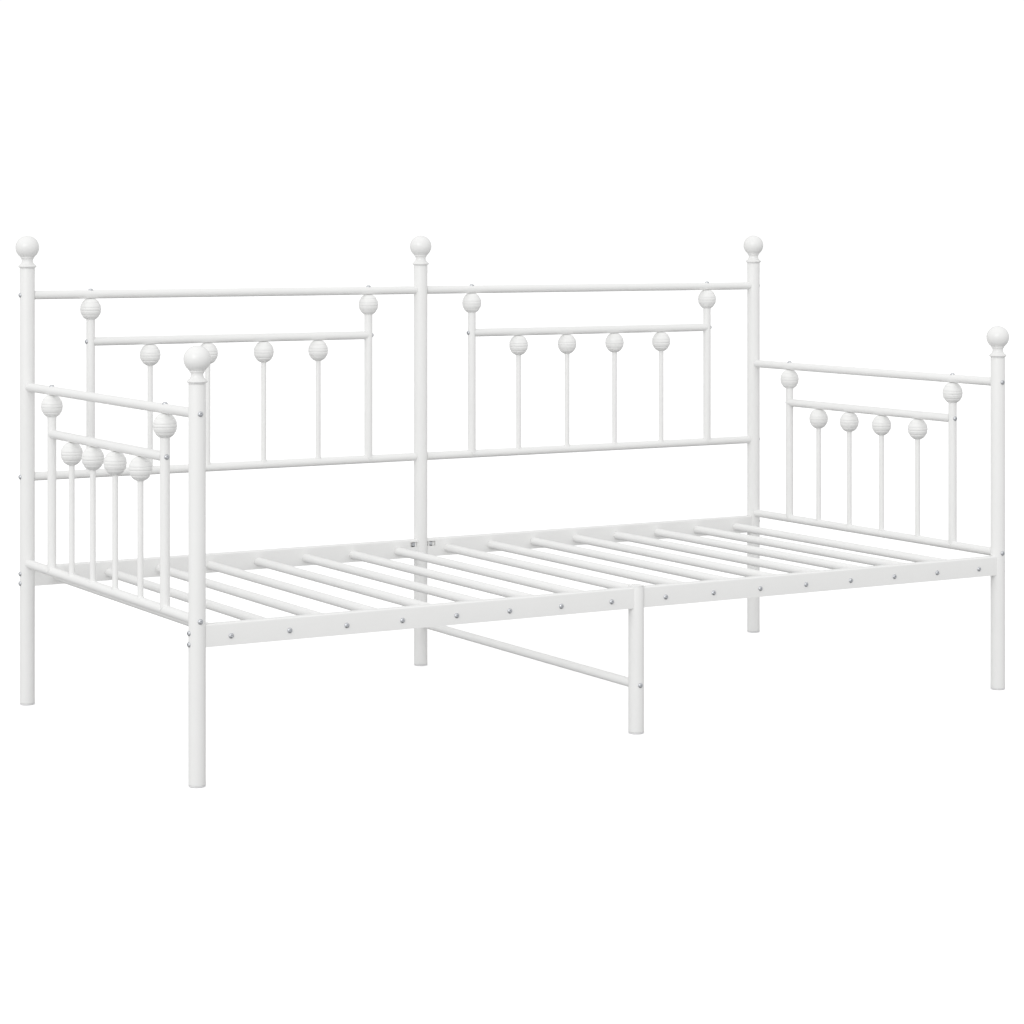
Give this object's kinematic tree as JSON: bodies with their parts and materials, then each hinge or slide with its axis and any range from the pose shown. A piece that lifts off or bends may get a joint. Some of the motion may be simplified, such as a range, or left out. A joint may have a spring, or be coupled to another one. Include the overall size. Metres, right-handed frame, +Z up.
{
  "type": "daybed",
  "caption": "Daybed with a white round-tube steel frame: spindle panels on the back and both arms, slats across, and ball finials on the posts.",
  "frame": {"origin": "on the floor, under the middle of the bed", "axes": "+X along the bed's length, from the arm panel on the left to the one on the right as seen from the open front; +Y from the open front to the back panels; +Z up"},
  "size_m": [1.9904, 0.9804, 1.0178],
  "materials": {
    "white_powder_coated_steel": "satin white powder coat",
    "white_moulded_plastic": "smooth white moulding with a low gloss",
    "grey_moulded_plastic": "fine matt moulding"
  },
  "bodies": {
    "root": {"back_left_end_stile": "white_powder_coated_steel", "back_left_inner_tube": "white_powder_coated_steel", "back_left_middle_stile": "white_powder_coated_steel", "back_left_spindle_comb": "white_powder_coated_steel", "back_left_top_tube": "white_powder_coated_steel", "back_right_end_stile": "white_powder_coated_steel", "back_right_inner_tube": "white_powder_coated_steel", "back_right_middle_stile": "white_powder_coated_steel", "back_right_spindle_comb": "white_powder_coated_steel", "back_right_top_tube": "white_powder_coated_steel", "cross_brace": "white_powder_coated_steel", "front_left_finial": "white_moulded_plastic", "front_left_foot_plug": "grey_moulded_plastic", "front_left_post": "white_powder_coated_steel", "front_left_rail": "white_powder_coated_steel", "front_middle_foot_plug": "grey_moulded_plastic", "front_middle_leg": "white_powder_coated_steel", "front_middle_leg_cap": "white_moulded_plastic", "front_right_finial": "white_moulded_plastic", "front_right_foot_plug": "grey_moulded_plastic", "front_right_post": "white_powder_coated_steel", "front_right_rail": "white_powder_coated_steel", "left_arm_front_stile": "white_powder_coated_steel", "left_arm_inner_tube": "white_powder_coated_steel", "left_arm_rear_stile": "white_powder_coated_steel", "left_arm_spindle_comb": "white_powder_coated_steel", "left_arm_top_tube": "white_powder_coated_steel", "left_slat_1": "white_powder_coated_steel", "left_slat_2": "white_powder_coated_steel", "left_slat_3": "white_powder_coated_steel", "left_slat_4": "white_powder_coated_steel", "left_slat_5": "white_powder_coated_steel", "left_slat_6": "white_powder_coated_steel", "left_slat_7": "white_powder_coated_steel", "left_slat_8": "white_powder_coated_steel", "rear_left_finial": "white_moulded_plastic", "rear_left_foot_plug": "grey_moulded_plastic", "rear_left_post": "white_powder_coated_steel", "rear_left_rail": "white_powder_coated_steel", "rear_middle_finial": "white_moulded_plastic", "rear_middle_foot_plug": "grey_moulded_plastic", "rear_middle_post": "white_powder_coated_steel", "rear_right_finial": "white_moulded_plastic", "rear_right_foot_plug": "grey_moulded_plastic", "rear_right_post": "white_powder_coated_steel", "rear_right_rail": "white_powder_coated_steel", "right_arm_front_stile": "white_powder_coated_steel", "right_arm_inner_tube": "white_powder_coated_steel", "right_arm_rear_stile": "white_powder_coated_steel", "right_arm_spindle_comb": "white_powder_coated_steel", "right_arm_top_tube": "white_powder_coated_steel", "right_slat_1": "white_powder_coated_steel", "right_slat_2": "white_powder_coated_steel", "right_slat_3": "white_powder_coated_steel", "right_slat_4": "white_powder_coated_steel", "right_slat_5": "white_powder_coated_steel", "right_slat_6": "white_powder_coated_steel", "right_slat_7": "white_powder_coated_steel", "right_slat_8": "white_powder_coated_steel"}
  },
  "joints": []
}
